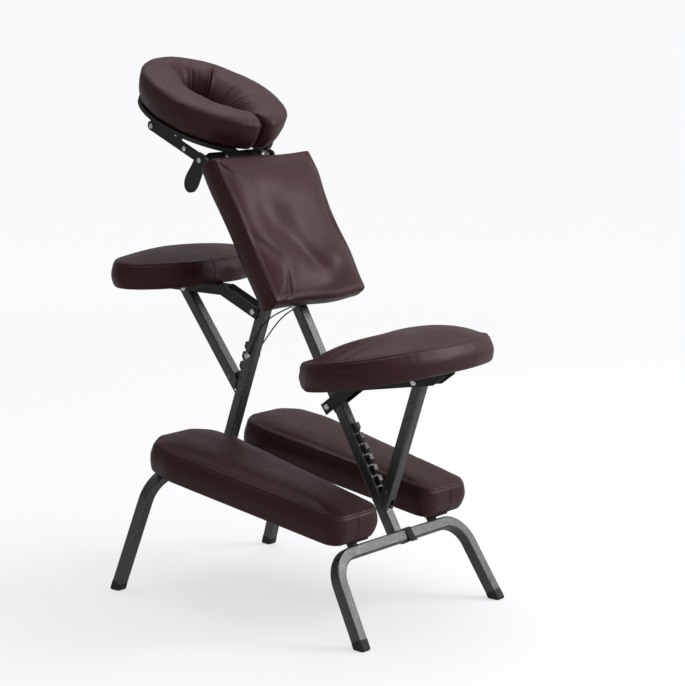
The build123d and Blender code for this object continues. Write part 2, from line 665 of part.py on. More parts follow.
def build_armrest():
    plane = lean_plane((ARM_MID_Y, ARM_BOARD_Z), 90)
    board = extrude(plane * armrest_outline(8.0), BOARD)
    bracket = armrest_bracket()
    spots = [(x, y) for x in (-8.0, 8.0) for y in (-80.0, 35.0)]
    screws = board_screws(spots, plane, PLATE + 8.0)
    for screw in screws:
        board -= screw
        bracket -= screw
    cushion = extrude(plane.offset(BOARD) * armrest_outline(), ARM_THICK - BOARD + 5.0)
    cushion = fillet(cushion.edges().group_by(Axis.Z)[-1], 12.0)
    write("armrest_bracket", bracket)
    write("armrest_board", board)
    write("armrest_cushion", cushion)
    write("armrest_screws", screws)
    write("armrest_hinge_bolt", cross_bolt(ARM_HINGE, EAR_OUT))
    write("armrest_strut_bolt", cross_bolt(ARM_STRUT_BOLT, EAR_OUT))
    foot = (FRONT_FOOT_Y, FRONT_LEAN, ARM_STRUT_FOOT_Z, 1)
    write("armrest_strut", strut(ARM_STRUT_BOLT, *foot))
    write("armrest_strut_studs", strut_studs(ARM_STRUT_BOLT, *foot))


def build_kneelers():
    board, cushion, bracket = kneeler_parts()
    pin = rod(KNEEL_HINGE, KNEEL_HINGE_X - 15.0, KNEEL_HINGE_X + 15.0, BOLT_R)
    pieces = {"board": board, "cushion": cushion, "hinge": bracket, "hinge_pin": pin}
    for name, piece in pieces.items():
        right, left = both_sides(piece)
        write(f"kneeler_right_{name}", right)
        write(f"kneeler_left_{name}", left)


def build_cradle():
    arm = cradle_arm()
    bolts = [cradle_bolt(54.0), cradle_bolt(163.0)]
    for bolt in bolts:
        arm -= bolt
    right, left = both_sides(arm)
    write("cradle_arm_right", right)
    write("cradle_arm_left", left)
    write("cradle_bolts", [side for bolt in bolts for side in both_sides(bolt)])
    write("cradle_platform", cradle_platform())
    write("cradle_pillow", pillow())
    write("cam_lever", cam_lever())


os.makedirs("parts", exist_ok=True)
build_rear_frame()
build_front_frame()
build_seat()
build_armrest()
build_kneelers()
build_cradle()
print("frame hinge", FRAME_HINGE, "armrest hinge", ARM_HINGE)
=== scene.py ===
import bpy
import bmesh
import math
import numpy as np
from mathutils import Matrix, Vector, noise


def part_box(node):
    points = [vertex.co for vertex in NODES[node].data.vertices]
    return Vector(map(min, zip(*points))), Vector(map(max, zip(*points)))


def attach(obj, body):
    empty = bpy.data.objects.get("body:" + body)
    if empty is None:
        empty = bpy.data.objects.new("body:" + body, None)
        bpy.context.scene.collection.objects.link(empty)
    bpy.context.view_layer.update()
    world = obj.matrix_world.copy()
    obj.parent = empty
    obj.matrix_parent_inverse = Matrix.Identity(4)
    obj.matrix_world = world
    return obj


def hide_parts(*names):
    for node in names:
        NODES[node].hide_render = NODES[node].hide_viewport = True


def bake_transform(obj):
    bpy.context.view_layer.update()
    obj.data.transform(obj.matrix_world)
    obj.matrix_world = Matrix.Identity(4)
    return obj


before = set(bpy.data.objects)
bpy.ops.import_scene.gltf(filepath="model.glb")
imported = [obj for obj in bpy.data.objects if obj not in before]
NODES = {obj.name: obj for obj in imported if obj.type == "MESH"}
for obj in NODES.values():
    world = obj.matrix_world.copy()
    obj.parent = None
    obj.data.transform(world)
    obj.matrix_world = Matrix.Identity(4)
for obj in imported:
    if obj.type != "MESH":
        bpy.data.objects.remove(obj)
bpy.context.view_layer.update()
SCENE = bpy.context.scene

# Leans and tilts in degrees, as in the CAD
REAR_LEAN = 29.9
SEAT_TILT = -10.0
ARMREST_TILT = 0.0
KNEELER_TILT = 10.2
CRADLE_TILT = 24.2

# Spacing of the points along an outline, first as drawn and then as the cover uses it
OUTLINE_STEP = 0.0045
COVER_STEP = 0.0036

# Sewing thread: distance between stitches, length of one, and its thickness
STITCH_PITCH = 0.0052
STITCH_LENGTH = 0.0034
THREAD_THICK = 0.0007

# ---------------------------------------------------------------- camera and light

CAMERA_AT = Vector((-3.1211, -2.7796, 1.2595))
AZIMUTH, ELEVATION, ROLL = -0.8678, 0.1692, math.radians(-0.21)
SENSOR_WIDTH = 36.0
FOCAL = 104.13761

# Light: the sky as reflections see it, the backdrop as the camera sees it, and the floor's own glow
SKY_TOWARDS = Vector((0.50, -0.50, 0.70))
SKY_STOPS = [(0.0, (0.07, 0.07, 0.072)), (0.42, (0.17, 0.17, 0.175)), (0.95, (0.62, 0.62, 0.63))]
BACKDROP = (0.952, 0.952, 0.958, 1)
FLOOR_COLOUR = (0.42, 0.42, 0.415, 1)
GLOW_COLOUR = (0.97, 0.97, 1.0, 1)
GLOW_REACH = (0.6, 5.0)
FLOOR_GLOW = (0.64, 0.785)
GLOW_IN_REFLECTIONS = 0.25


def make_camera():
    data = bpy.data.cameras.new("camera")
    data.sensor_fit = "AUTO"
    data.sensor_width = SENSOR_WIDTH
    data.lens = FOCAL
    data.clip_end = 100
    cam = bpy.data.objects.new("camera", data)
    SCENE.collection.objects.link(cam)
    ahead = Vector((math.sin(-AZIMUTH) * math.cos(ELEVATION), math.cos(AZIMUTH) * math.cos(ELEVATION),
                    -math.sin(ELEVATION)))
    turn = ahead.to_track_quat("-Z", "Y").to_matrix().to_4x4()
    cam.matrix_world = Matrix.Translation(CAMERA_AT) @ turn @ Matrix.Rotation(ROLL, 4, "Z")
    SCENE.camera = cam


def area_light(name, at, aim, size, power):
    data = bpy.data.lights.new(name, "AREA")
    data.shape = "RECTANGLE"
    data.size, data.size_y = size
    data.energy = power
    lamp = bpy.data.objects.new(name, data)
    lamp.location = at
    lamp.rotation_euler = (Vector(aim) - Vector(at)).to_track_quat("-Z", "Y").to_euler()
    SCENE.collection.objects.link(lamp)
    lamp.visible_camera = False


def make_stage():
    world = bpy.data.worlds.new("studio")
    SCENE.world = world
    world.use_nodes = True
    nt = world.node_tree
    nt.nodes.clear()
    out = nt.nodes.new("ShaderNodeOutputWorld")
    pale = nt.nodes.new("ShaderNodeBackground")
    pale.inputs["Strength"].default_value = 1.0
    coord = nt.nodes.new("ShaderNodeTexCoord")
    dot = nt.nodes.new("ShaderNodeVectorMath")
    dot.operation = "DOT_PRODUCT"
    dot.inputs[1].default_value = SKY_TOWARDS.normalized()
    nt.links.new(coord.outputs["Generated"], dot.inputs[0])
    half = nt.nodes.new("ShaderNodeMath")
    half.operation = "MULTIPLY_ADD"
    half.inputs[1].default_value = 0.5
    half.inputs[2].default_value = 0.5
    nt.links.new(dot.outputs["Value"], half.inputs[0])
    nt.links.new(ramp_node(nt, half.outputs[0], SKY_STOPS), pale.inputs["Color"])
    backdrop = nt.nodes.new("ShaderNodeBackground")
    backdrop.inputs["Color"].default_value = BACKDROP
    rays = nt.nodes.new("ShaderNodeLightPath")
    pick = nt.nodes.new("ShaderNodeMixShader")
    nt.links.new(rays.outputs["Is Camera Ray"], pick.inputs[0])
    nt.links.new(pale.outputs[0], pick.inputs[1])
    nt.links.new(backdrop.outputs[0], pick.inputs[2])
    nt.links.new(pick.outputs[0], out.inputs["Surface"])

    floor = bpy.data.meshes.new("floor")
    floor.from_pydata([(-60, -60, 0), (90, -60, 0), (90, 90, 0), (-60, 90, 0)], [], [(0, 1, 2, 3)])
    plate = bpy.data.objects.new("floor", floor)
    SCENE.collection.objects.link(plate)
    mat, bsdf, nt = new_material("studio_floor")
    bsdf.inputs["Base Color"].default_value = FLOOR_COLOUR
    bsdf.inputs["Roughness"].default_value = 0.9
    bsdf.inputs["Specular IOR Level"].default_value = 0.1
    bsdf.inputs["Emission Color"].default_value = GLOW_COLOUR
    away = nt.nodes.new("ShaderNodeVectorMath")
    away.operation = "LENGTH"
    nt.links.new(coords(nt), away.inputs[0])
    spread = nt.nodes.new("ShaderNodeMapRange")
    spread.inputs["From Min"].default_value, spread.inputs["From Max"].default_value = GLOW_REACH
    spread.inputs["To Min"].default_value, spread.inputs["To Max"].default_value = FLOOR_GLOW
    nt.links.new(away.outputs["Value"], spread.inputs["Value"])
    rays = nt.nodes.new("ShaderNodeLightPath")
    share = nt.nodes.new("ShaderNodeMapRange")
    share.inputs["To Min"].default_value = GLOW_IN_REFLECTIONS
    share.inputs["To Max"].default_value = 1.0
    nt.links.new(rays.outputs["Is Camera Ray"], share.inputs["Value"])
    glow = nt.nodes.new("ShaderNodeMath")
    glow.operation = "MULTIPLY"
    nt.links.new(spread.outputs["Result"], glow.inputs[0])
    nt.links.new(share.outputs["Result"], glow.inputs[1])
    nt.links.new(glow.outputs[0], bsdf.inputs["Emission Strength"])
    floor.materials.append(mat)

    centre = Vector((0.0, 0.0, 0.6))
    area_light("top_soft", centre + Vector((0.3, 0.2, 2.6)), centre, (2.6, 2.6), 32)
    area_light("right_soft", centre + Vector((1.9, -2.1, 1.5)), centre, (1.3, 1.9), 46)
    SCENE.view_settings.view_transform = "Standard"
    SCENE.view_settings.look = "None"


# ---------------------------------------------------------------- materials

def new_material(name):
    mat = bpy.data.materials.new(name)
    mat.use_nodes = True
    nt = mat.node_tree
    return mat, nt.nodes["Principled BSDF"], nt


def coords(nt, scale=(1, 1, 1)):
    """Object-space coordinates in metres, so that grain keeps its size on every piece."""
    coord = nt.nodes.new("ShaderNodeTexCoord")
    mapping = nt.nodes.new("ShaderNodeMapping")
    mapping.inputs["Scale"].default_value = scale
    nt.links.new(coord.outputs["Object"], mapping.inputs["Vector"])
    return mapping.outputs["Vector"]


def noise_node(nt, vector, scale, detail=2.0, roughness=0.5):
    n = nt.nodes.new("ShaderNodeTexNoise")
    n.inputs["Scale"].default_value = scale
    n.inputs["Detail"].default_value = detail
    n.inputs["Roughness"].default_value = roughness
    nt.links.new(vector, n.inputs["Vector"])
    return n.outputs["Fac"]


def ramp_node(nt, fac, stops):
    r = nt.nodes.new("ShaderNodeValToRGB")
    while len(r.color_ramp.elements) < len(stops):
        r.color_ramp.elements.new(0.5)
    for e, (pos, col) in zip(r.color_ramp.elements, stops):
        e.position = pos
        e.color = (*col, 1)
    nt.links.new(fac, r.inputs["Fac"])
    return r.outputs["Color"]


def grey(v):
    return (v, v, v)


def bump_node(nt, height, distance, strength=1.0, below=None):
    b = nt.nodes.new("ShaderNodeBump")
    b.inputs["Distance"].default_value = distance
    b.inputs["Strength"].default_value = strength
    nt.links.new(height, b.inputs["Height"])
    if below is not None:
        nt.links.new(below, b.inputs["Normal"])
    return b.outputs["Normal"]


def leather(name, dark, light, rough=0.40):
    """Fine-grained coated leather: pebbled grain, soft mottling and a slight sheen."""
    mat, bsdf, nt = new_material(name)
    v = coords(nt)
    mottle = noise_node(nt, v, 9.0, 4.0, 0.6)
    colour = ramp_node(nt, mottle, [(0.30, dark), (0.72, light)])
    nt.links.new(colour, bsdf.inputs["Base Color"])
    pores = nt.nodes.new("ShaderNodeTexVoronoi")
    pores.feature = "SMOOTH_F1"
    pores.inputs["Scale"].default_value = 620.0
    pores.inputs["Smoothness"].default_value = 0.6
    nt.links.new(v, pores.inputs["Vector"])
    creases = noise_node(nt, v, 160.0, 4.0, 0.62)
    grain = bump_node(nt, pores.outputs["Distance"], 0.00032, 0.55)
    grain = bump_node(nt, creases, 0.00045, 0.5, grain)
    nt.links.new(grain, bsdf.inputs["Normal"])
    shine = noise_node(nt, v, 22.0, 3.0, 0.55)
    level = ramp_node(nt, shine, [(0.25, grey(rough - 0.05)), (0.75, grey(rough + 0.08))])
    nt.links.new(level, bsdf.inputs["Roughness"])
    bsdf.inputs["Specular IOR Level"].default_value = 0.30
    bsdf.inputs["Specular Tint"].default_value = (1.0, 0.80, 0.80, 1)
    bsdf.inputs["Sheen Weight"].default_value = 0.02
    bsdf.inputs["Sheen Roughness"].default_value = 0.4
    return mat


def hammertone(name, base=0.085, bright=0.55):
    """Dark grey stove enamel with the fine light flecks of a hammered finish."""
    mat, bsdf, nt = new_material(name)
    v = coords(nt)
    cells = nt.nodes.new("ShaderNodeTexVoronoi")
    cells.feature = "F1"
    cells.inputs["Scale"].default_value = 420.0
    nt.links.new(v, cells.inputs["Vector"])
    fleck = noise_node(nt, v, 700.0, 3.0, 0.7)
    stops = [(0.44, (base, base, base * 1.05)), (0.60, (base * 1.5, base * 1.5, base * 1.55)),
             (0.70, (bright, bright, bright * 1.02))]
    colour = ramp_node(nt, fleck, stops)
    nt.links.new(colour, bsdf.inputs["Base Color"])
    bsdf.inputs["Metallic"].default_value = 0.75
    wear = noise_node(nt, v, 35.0, 3.0, 0.6)
    level = ramp_node(nt, wear, [(0.3, grey(0.30)), (0.7, grey(0.42))])
    nt.links.new(level, bsdf.inputs["Roughness"])
    dents = bump_node(nt, cells.outputs["Distance"], 0.0004, 0.55)
    nt.links.new(bump_node(nt, fleck, 0.0002, 0.4, dents), bsdf.inputs["Normal"])
    return mat


def black_enamel(name, tone=0.012, rough=0.36):
    """Black powder coat: fine orange-peel bump and faint scuffs."""
    mat, bsdf, nt = new_material(name)
    v = coords(nt)
    scuff = noise_node(nt, v, 60.0, 5.0, 0.7)
    colour = ramp_node(nt, scuff, [(0.35, grey(tone)), (0.66, grey(tone * 1.5)), (0.80, grey(tone * 3.0))])
    nt.links.new(colour, bsdf.inputs["Base Color"])
    level = ramp_node(nt, scuff, [(0.3, grey(rough)), (0.8, grey(rough + 0.16))])
    nt.links.new(level, bsdf.inputs["Roughness"])
    nt.links.new(bump_node(nt, noise_node(nt, v, 520.0, 2.0), 0.00022, 0.5), bsdf.inputs["Normal"])
    return mat


def metal(name, tone, rough, streak=900.0, tint=(1.0, 1.0, 1.02)):
    """Bare or plated steel with fine scratches and faint staining."""
    mat, bsdf, nt = new_material(name)
    v = coords(nt, (1, 1, 0.15))
    scratch = noise_node(nt, v, streak, 3.0, 0.65)
    stain = noise_node(nt, coords(nt), 80.0, 3.0, 0.6)
    low = tuple(tone * 0.78 * t for t in tint)
    high = tuple(tone * t for t in tint)
    nt.links.new(ramp_node(nt, stain, [(0.35, low), (0.65, high)]), bsdf.inputs["Base Color"])
    bsdf.inputs["Metallic"].default_value = 1.0
    level = ramp_node(nt, scratch, [(0.3, grey(rough)), (0.75, grey(rough + 0.15))])
    nt.links.new(level, bsdf.inputs["Roughness"])
    nt.links.new(bump_node(nt, scratch, 0.0001, 0.35), bsdf.inputs["Normal"])
    return mat


def rubber(name, tone=0.018):
    mat, bsdf, nt = new_material(name)
    v = coords(nt)
    dust = noise_node(nt, v, 130.0, 4.0, 0.7)
    nt.links.new(ramp_node(nt, dust, [(0.4, grey(tone)), (0.8, grey(tone * 2.4))]), bsdf.inputs["Base Color"])
    nt.links.new(ramp_node(nt, dust, [(0.3, grey(0.6)), (0.8, grey(0.85))]), bsdf.inputs["Roughness"])
    nt.links.new(bump_node(nt, dust, 0.0004, 0.4), bsdf.inputs["Normal"])
    return mat


def woven(name, tone, scale=900.0, rough=0.85):
    """Plain weave: two crossed sets of threads, with a little fuzz."""
    mat, bsdf, nt = new_material(name)
    v = coords(nt)
    waves = []
    for axis in ("X", "Y", "Z"):
        w = nt.nodes.new("ShaderNodeTexWave")
        w.bands_direction = axis
        w.inputs["Scale"].default_value = scale
        w.inputs["Distortion"].default_value = 0.4
        nt.links.new(v, w.inputs["Vector"])
        waves.append(w.outputs["Fac"])
    top = nt.nodes.new("ShaderNodeMath")
    top.operation = "MAXIMUM"
    nt.links.new(waves[0], top.inputs[0])
    nt.links.new(waves[1], top.inputs[1])
    both = nt.nodes.new("ShaderNodeMath")
    both.operation = "MULTIPLY"
    nt.links.new(top.outputs[0], both.inputs[0])
    nt.links.new(waves[2], both.inputs[1])
    fuzz = noise_node(nt, v, 300.0, 4.0, 0.7)
    colour = ramp_node(nt, fuzz, [(0.35, tuple(t * 0.7 for t in tone)), (0.7, tone)])
    level = ramp_node(nt, fuzz, [(0.3, grey(rough - 0.1)), (0.7, grey(rough + 0.05))])
    nt.links.new(colour, bsdf.inputs["Base Color"])
    nt.links.new(level, bsdf.inputs["Roughness"])
    nt.links.new(bump_node(nt, both.outputs[0], 0.0004, 0.6), bsdf.inputs["Normal"])
    bsdf.inputs["Sheen Weight"].default_value = 0.25
    return mat


# ---------------------------------------------------------------- small geometry tools

class Local:
    """A CAD node's own tilted frame, in metres: x across the chair, z out of its flat base."""

    def __init__(self, nodes, degrees):
        a = math.radians(degrees)
        self.ex = Vector((1, 0, 0))
        self.ez = Vector((0.0, -math.sin(a), math.cos(a)))
        self.ey = self.ez.cross(self.ex)
        pts = [v.co for n in nodes for v in NODES[n].data.vertices]
        axes = (self.ex, self.ey, self.ez)
        lows = [min(p.dot(e) for p in pts) for e in axes]
        highs = [max(p.dot(e) for p in pts) for e in axes]
        mid = [(lo + hi) / 2 for lo, hi in zip(lows, highs)]
        self.half_x, self.half_y = (highs[0] - lows[0]) / 2, (highs[1] - lows[1]) / 2
        self.height = highs[2] - lows[2]
        self.origin = self.ex * mid[0] + self.ey * mid[1] + self.ez * lows[2]

    def world(self, x, y, z):
        return self.origin + self.ex * x + self.ey * y + self.ez * z


def smooth_object(name, verts, faces, material):
    mesh = bpy.data.meshes.new(name)
    mesh.from_pydata([tuple(v) for v in verts], [], faces)
    mesh.validate()
    bm = bmesh.new()
    bm.from_mesh(mesh)
    bmesh.ops.recalc_face_normals(bm, faces=bm.faces)
    bm.to_mesh(mesh)
    bm.free()
    mesh.polygons.foreach_set("use_smooth", [True] * len(mesh.polygons))
    mesh.materials.append(material)
    obj = bpy.data.objects.new(name, mesh)
    SCENE.collection.objects.link(obj)
    return obj


def quads_between(a, b, n):
    """Quads between two closed rings of n vertices that start at vertices a and b."""
    return [(a + i, a + (i + 1) % n, b + (i + 1) % n, b + i) for i in range(n)]


def rounded_polygon(points, radii, step):
    """Closed outline with arc corners, as evenly spaced (x, y) points."""
    n = len(points)
    dense = []
    for i in range(n):
        p0, p1, p2 = (Vector(points[(i + k - 1) % n]) for k in range(3))
        a, b = (p0 - p1).normalized(), (p2 - p1).normalized()
        half = math.acos(max(-1, min(1, a.dot(b)))) / 2
        cut = min(radii[i] / math.tan(half), 0.49 * min((p0 - p1).length, (p2 - p1).length))
        radius = cut * math.tan(half)
        centre = p1 + (a + b).normalized() * (radius / math.sin(half))
        start, end = p1 + a * cut, p1 + b * cut
        t0 = math.atan2(start.y - centre.y, start.x - centre.x)
        t1 = math.atan2(end.y - centre.y, end.x - centre.x)
        while t1 - t0 > math.pi:
            t1 -= 2 * math.pi
        while t1 - t0 < -math.pi:
            t1 += 2 * math.pi
        for k in range(25):
            t = t0 + (t1 - t0) * k / 24
            dense.append((centre.x + radius * math.cos(t), centre.y + radius * math.sin(t)))
    return even_loop(np.array(dense), step)


# Where extra points stand on both sides of a sewn seam
FINE_MARKS = (-0.005, -0.0035, -0.0024, -0.0016, -0.0009, 0, 0.0009, 0.0016, 0.0024, 0.0035, 0.005)


def even_loop(dense, step, extra=()):
    """A closed outline again with points a step apart; extra are arc lengths that get finer points."""
    closed = np.vstack([dense, dense[:1]])
    run = np.concatenate([[0], np.cumsum(np.linalg.norm(np.diff(closed, axis=0), axis=1))])
    total = run[-1]
    count = max(24, int(round(total / step)))
    marks = list(np.arange(count) * total / count)
    for e in extra:
        marks += [(e + d) % total for d in FINE_MARKS]
    marks = np.array(sorted(marks))
    keep = np.concatenate([[True], np.diff(marks) > 0.0004])
    marks = marks[keep]
    return np.stack([np.interp(marks, run, closed[:, k]) for k in (0, 1)], axis=1)


def loop_lengths(loop):
    step = np.linalg.norm(np.roll(loop, -1, axis=0) - loop, axis=1)
    return np.concatenate([[0], np.cumsum(step)[:-1]]), step.sum()


def loop_normals(loop):
    """Outward normals of a loop that runs anticlockwise, smoothed a little."""
    ahead = np.roll(loop, -1, axis=0) - np.roll(loop, 1, axis=0)
    n = np.stack([ahead[:, 1], -ahead[:, 0]], axis=1)
    n /= np.linalg.norm(n, axis=1)[:, None]
    for _ in range(3):
        n = (np.roll(n, 1, axis=0) + 2 * n + np.roll(n, -1, axis=0)) / 4
        n /= np.linalg.norm(n, axis=1)[:, None]
    return n


def inset_loop(loop, normals, inset):
    """The outline drawn in: a few millimetres square to its edge, and the rest towards its middle."""
    first = min(inset, 0.004)
    pts = loop - normals * first
    centre = (pts.max(axis=0) + pts.min(axis=0)) / 2
    half = (pts.max(axis=0) - pts.min(axis=0)) / 2
    return centre + (pts - centre) * (1 - (inset - first) / half)


def anticlockwise(loop):
    x, y = loop[:, 0], loop[:, 1]
    area = (x * np.roll(y, -1) - y * np.roll(x, -1)).sum()
    return loop if area > 0 else loop[::-1].copy()


def noise_at(x, y, z):
    return noise.noise(Vector((x, y, z)))


def bump_at(x, y, cx, cy, rx, ry, turn=0.0):
    """Soft round hill of height 1 at (cx, cy)."""
    c, s = math.cos(turn), math.sin(turn)
    u = ((x - cx) * c + (y - cy) * s) / rx
    v = (-(x - cx) * s + (y - cy) * c) / ry
    return math.exp(-(u * u + v * v))


def crease_at(x, y, x0, y0, x1, y1, width):
    """Narrow line from one point to another that fades at both ends."""
    dx, dy = x1 - x0, y1 - y0
    t = ((x - x0) * dx + (y - y0) * dy) / (dx * dx + dy * dy)
    if t < -0.2 or t > 1.2:
        return 0.0
    gap = abs((x - x0) * dy - (y - y0) * dx) / math.hypot(dx, dy)
    fade = max(0.0, math.sin(math.pi * min(1, max(0, (t + 0.2) / 1.4))))
    return math.exp(-((gap / width) ** 2)) * fade


def stitches(name, path, normals, pitch, length, thick, material, closed=True):
    """A row of short thread stitches along a path of world points."""
    pts = np.array([tuple(p) for p in path])
    nrm = np.array([tuple(n) for n in normals])
    if closed:
        pts = np.vstack([pts, pts[:1]])
        nrm = np.vstack([nrm, nrm[:1]])
    run = np.concatenate([[0], np.cumsum(np.linalg.norm(np.diff(pts, axis=0), axis=1))])
    verts, faces = [], []
    sides = 6
    for i in range(int(run[-1] / pitch)):
        at = [i * pitch + length * k / 3 for k in range(4)]
        line = np.stack([np.interp(at, run, pts[:, k]) for k in range(3)], axis=1)
        up = np.stack([np.interp(at, run, nrm[:, k]) for k in range(3)], axis=1)
        first = len(verts)
        for k in range(4):
            ahead = Vector(line[min(3, k + 1)] - line[max(0, k - 1)]).normalized()
            u = Vector(up[k]).normalized()
            side = ahead.cross(u).normalized()
            radius = thick / 2 * (0.45 if k in (0, 3) else 1.0)
            lift = thick * (0.30 if k in (1, 2) else -0.15)
            for s in range(sides):
                a = 2 * math.pi * s / sides
                spot = Vector(line[k]) + u * (lift + radius * math.sin(a)) + side * radius * math.cos(a)
                verts.append(spot)
        for k in range(3):
            faces += quads_between(first + k * sides, first + (k + 1) * sides, sides)
        faces.append(tuple(range(first + sides - 1, first - 1, -1)))
        faces.append(tuple(range(first + 3 * sides, first + 4 * sides)))
    return smooth_object(name, verts, faces, material)


def tube_along(name, path, radius, material, sides=12):
    """Round tube along world points, with closed ends."""
    pts = [Vector(p) for p in path]
    n = len(pts)
    verts, faces = [], []
    up = None
    for i in range(n):
        ahead = (pts[min(n - 1, i + 1)] - pts[max(0, i - 1)]).normalized()
        if up is None:
            up = ahead.orthogonal().normalized()
        up = (up - ahead * up.dot(ahead)).normalized()
        side = ahead.cross(up)
        for s in range(sides):
            a = 2 * math.pi * s / sides
            verts.append(pts[i] + up * (radius * math.cos(a)) + side * (radius * math.sin(a)))
    for i in range(n - 1):
        faces += quads_between(i * sides, (i + 1) * sides, sides)
    faces.append(tuple(range(sides - 1, -1, -1)))
    faces.append(tuple(range((n - 1) * sides, n * sides)))
    return smooth_object(name, verts, faces, material)


# ---------------------------------------------------------------- upholstered pads

class Pad:
    """A boarded cushion: top panel, side wall and turned-under edge, sewn at a seam round the top."""

    WALL_RINGS = 10
    # Six rings lie below the wall's, and three in the lip under the seam
    SEAM_RING = 6 + WALL_RINGS + 3
    # Distance from a wall seam at which its groove and the swelling beside it fade
    GROOVE = 0.0011
    SWELLING = 0.0040

    def __init__(self, name, local, loop, wall, crown, belly=0.004, seams=(), power=2.6):
        self.name, self.local, self.wall, self.crown = name, local, wall, crown
        self.loop = anticlockwise(loop)
        self.normals = loop_normals(self.loop)
        self.run, self.total = loop_lengths(self.loop)
        self.belly, self.seams, self.power = belly, seams, power
        self.centre = (self.loop.max(axis=0) + self.loop.min(axis=0)) / 2
        self.n = len(self.loop)

    def rings(self):
        """(inset, height, kind) from the underside up to the edge of the top; the wall bellies out."""
        h = self.wall
        out = [(0.030, 0.0004, "under"), (0.016, 0.0, "under"), (0.008, 0.0, "under"),
               (0.0042, 0.0008, "wall"), (0.0018, 0.0024, "wall"), (0.0004, 0.0052, "wall")]
        for k in range(1, self.WALL_RINGS + 1):
            t = k / (self.WALL_RINGS + 1)
            z = 0.0052 + (h - 0.0052 - 0.006) * t
            out.append((-self.belly * math.sin(math.pi * t), z, "wall"))
        out += [(-0.0002, h - 0.0050, "lip"), (0.0004, h - 0.0030, "lip"), (0.0014, h - 0.0015, "lip"),
                (0.0030, h - 0.0008, "seam"), (0.0034, h + 0.0002, "seam"), (0.0030, h + 0.0011, "seam"),
                (0.0034, h + 0.0022, "lip"), (0.0050, h + 0.0036, "lip"), (0.0075, h + 0.0048, "top"),
                (0.0110, h + 0.0058, "top"), (0.0150, h + 0.0067, "top")]
        return out

    def gap_along(self, s):
        """Distance along the edge from every point of the loop to arc length s."""
        return abs((self.run - s + self.total / 2) % self.total - self.total / 2)

    def build(self, material, shape, top_rings=26):
        """shape(x, y, z, s, kind) gives (outward, up) moves in metres."""
        loc, n = self.local, self.n
        rings = [(inset_loop(self.loop, self.normals, inset), z, kind) for inset, z, kind in self.rings()]
        inner, edge_rise, _ = rings[-1]
        for k in range(1, top_rings + 1):
            t = k / (top_rings + 1)
            rise = (self.crown - (edge_rise - self.wall)) * (1 - (1 - t) ** self.power)
            rings.append((self.centre + (inner - self.centre) * (1 - t), edge_rise + rise, "top"))
        seam_gaps = [(self.gap_along(s), depth) for s, depth in self.seams]
        verts, faces = [], []
        for pts, z, kind in rings:
            for i, (x, y) in enumerate(pts):
                out, up = shape(x, y, z, self.run[i], kind)
                nx, ny = self.normals[i]
                if kind in ("wall", "lip"):
                    for gaps, depth in seam_gaps:
                        groove = math.exp(-((gaps[i] / self.GROOVE) ** 2))
                        out -= depth * groove - depth * 0.45 * math.exp(-((gaps[i] / self.SWELLING) ** 2))
                verts.append(loc.world(x + nx * out, y + ny * out, z + up))
        for k in range(len(rings) - 1):
            faces += quads_between(k * n, (k + 1) * n, n)
        top, low = len(verts), len(verts) + 1
        _, up = shape(self.centre[0], self.centre[1], edge_rise, 0, "top")
        verts.append(loc.world(self.centre[0], self.centre[1], self.wall + self.crown + up))
        verts.append(loc.world(self.centre[0], self.centre[1], 0.0004))
        last = (len(rings) - 1) * n
        for i in range(n):
            j = (i + 1) % n
            faces.append((last + i, last + j, top))
            faces.append((j, i, low))
        self.verts = verts
        return smooth_object(self.name, verts, faces, material)

    def ring(self, index):
        return self.verts[index * self.n:(index + 1) * self.n]

    def seam_stitches(self, material):
        """Stitch line on the top panel just inside the seam."""
        ring, inner = self.ring(self.SEAM_RING + 4), self.ring(self.SEAM_RING + 5)
        ups = []
        for a, b in zip(ring, inner):
            across = (b - a).normalized()
            ups.append((self.local.ez - across * self.local.ez.dot(across)).normalized())
        return stitches(self.name + "_stitching", ring, ups, STITCH_PITCH, STITCH_PITCH * 0.66,
                        THREAD_THICK, material)

    def wall_stitches(self, material, s, suffix):
        """A vertical row of stitches beside a wall seam."""
        i = int(np.argmin(self.gap_along(s)))
        path = [self.verts[k * self.n + i] for k in range(4, self.SEAM_RING)]
        nx, ny = self.normals[i]
        normals = [self.local.ex * nx + self.local.ey * ny] * len(path)
        return stitches(self.name + suffix, path, normals, STITCH_PITCH, STITCH_LENGTH,
                        THREAD_THICK, material, closed=False)


def underside(name, local, loop, inset, material):
    """Black dust cover tacked under a cushion's board, with its folded hem."""
    normals = loop_normals(loop)
    rows = [(inset + 0.006, 0.0010), (inset, 0.0007), (inset - 0.001, -0.0003), (inset + 0.001, -0.0011),
            (inset + 0.008, -0.0012), (inset + 0.010, -0.0007), (inset + 0.030, -0.0006)]
    verts, faces, n = [], [], len(loop)
    for k, (gap, z) in enumerate(rows):
        pts = inset_loop(loop, normals, gap)
        for i in range(n):
            ripple = 0.0003 * noise_at(pts[i][0] * 60, pts[i][1] * 60, 3.1) if k > 1 else 0.0
            verts.append(local.world(pts[i][0], pts[i][1], z + ripple))
    for k in range(len(rows) - 1):
        faces += quads_between(k * n, (k + 1) * n, n)
    faces.append(tuple((len(rows) - 1) * n + i for i in range(n)))
    faces.append(tuple(range(n - 1, -1, -1)))
    return smooth_object(name, verts, faces, material)


def pucker(s, amount, length, seed):
    """Short folds that cross a seam, in clusters round the edge."""
    cluster = max(0.0, noise_at(s * 7.0, 0.3, seed) + 0.15)
    fold = noise_at(s / length, seed, 1.3)
    return amount * cluster * fold


